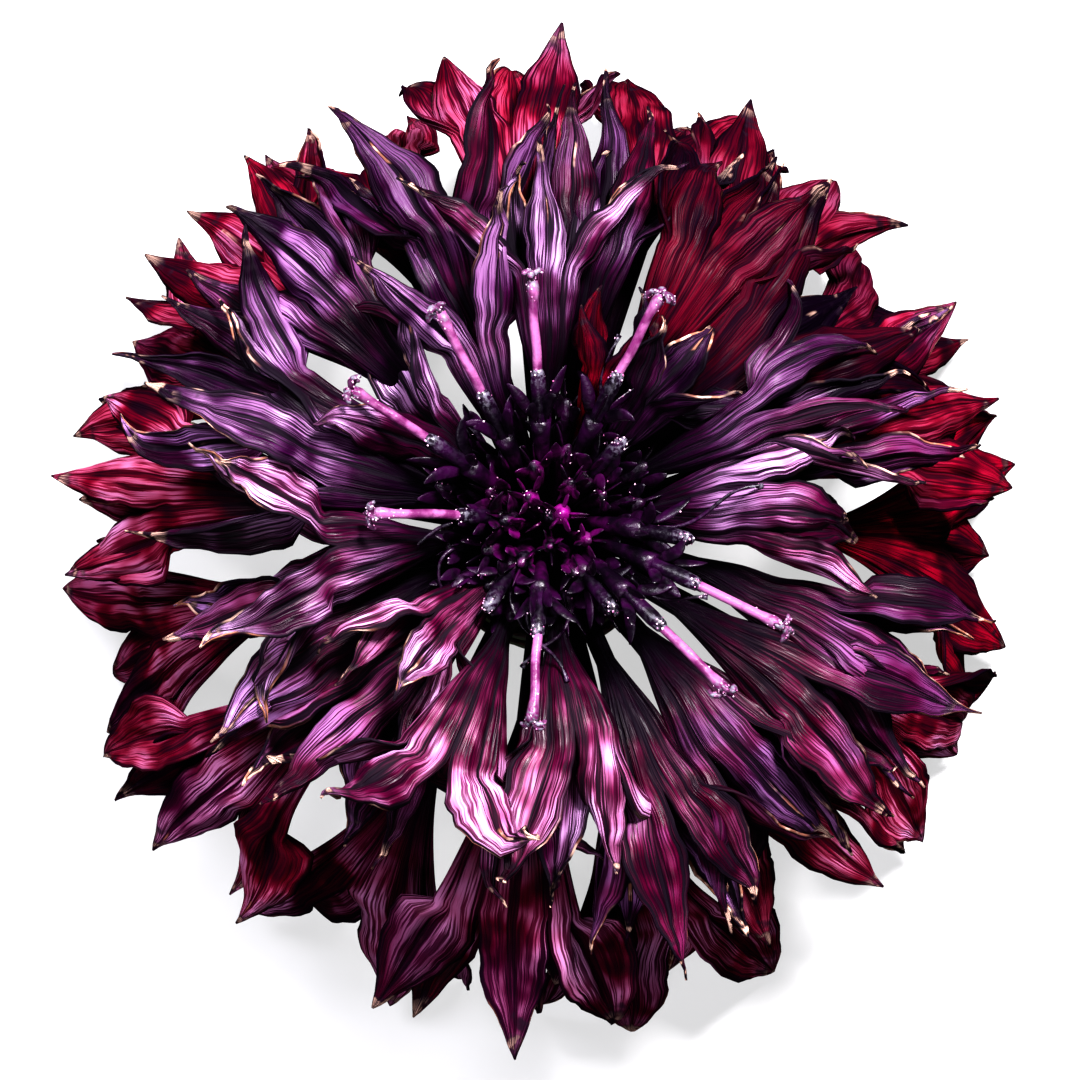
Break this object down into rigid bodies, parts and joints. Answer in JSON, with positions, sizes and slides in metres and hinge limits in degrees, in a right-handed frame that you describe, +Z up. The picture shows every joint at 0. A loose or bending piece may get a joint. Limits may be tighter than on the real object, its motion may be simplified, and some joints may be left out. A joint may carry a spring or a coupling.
{
  "type": "cornflower",
  "caption": "Dark crimson to purple double cornflower head: trumpet florets with pointed lobes in a dome over a green scaly cup, resting face up on its lowest florets.",
  "frame": {"origin": "centre of the bounding box, on the surface that the flower rests on", "axes": "+Z up along the flower's axis, out of its face; +Y towards the top of the bloom as it is viewed"},
  "size_m": [0.0442, 0.0467, 0.0224],
  "materials": {
    "stem": "matte",
    "bract": "matte",
    "outer_petal": "matte",
    "middle_petal": "satin",
    "inner_petal": "satin",
    "disc_tube": "matte"
  },
  "bodies": {
    "root": {"stem_and_receptacle": "stem", "bract_row_1": "bract", "bract_row_2": "bract", "bract_row_3": "bract", "bract_row_4": "bract", "skirt_floret_1": "outer_petal", "skirt_floret_2": "outer_petal", "skirt_floret_3": "outer_petal", "skirt_floret_4": "outer_petal", "skirt_floret_5": "outer_petal", "skirt_floret_6": "outer_petal", "skirt_floret_7": "outer_petal", "skirt_floret_8": "outer_petal", "skirt_floret_9": "outer_petal", "spread_floret_1": "outer_petal", "spread_floret_2": "outer_petal", "spread_floret_3": "outer_petal", "spread_floret_4": "outer_petal", "spread_floret_5": "outer_petal", "spread_floret_6": "outer_petal", "spread_floret_7": "outer_petal", "spread_floret_8": "outer_petal", "middle_floret_1": "middle_petal", "middle_floret_2": "middle_petal", "middle_floret_3": "middle_petal", "middle_floret_4": "middle_petal", "middle_floret_5": "middle_petal", "middle_floret_6": "middle_petal", "middle_floret_7": "middle_petal", "middle_floret_8": "middle_petal", "middle_floret_9": "middle_petal", "middle_floret_10": "middle_petal", "middle_floret_11": "middle_petal", "middle_floret_12": "middle_petal", "middle_floret_13": "middle_petal", "inner_floret_1": "inner_petal", "inner_floret_2": "inner_petal", "inner_floret_3": "inner_petal", "inner_floret_4": "inner_petal", "inner_floret_5": "inner_petal", "inner_floret_6": "inner_petal", "inner_floret_7": "inner_petal", "inner_floret_8": "inner_petal", "inner_floret_9": "inner_petal", "inner_floret_10": "inner_petal", "inner_floret_11": "inner_petal", "inner_floret_12": "inner_petal", "disc_floret_1": "disc_tube", "disc_floret_2": "disc_tube", "disc_floret_3": "disc_tube", "disc_floret_4": "disc_tube", "disc_floret_5": "disc_tube", "disc_floret_6": "disc_tube", "disc_floret_7": "disc_tube", "disc_floret_8": "disc_tube", "disc_floret_9": "disc_tube", "disc_floret_10": "disc_tube", "disc_floret_11": "disc_tube", "disc_floret_12": "disc_tube", "disc_floret_13": "disc_tube"}
  },
  "joints": []
}
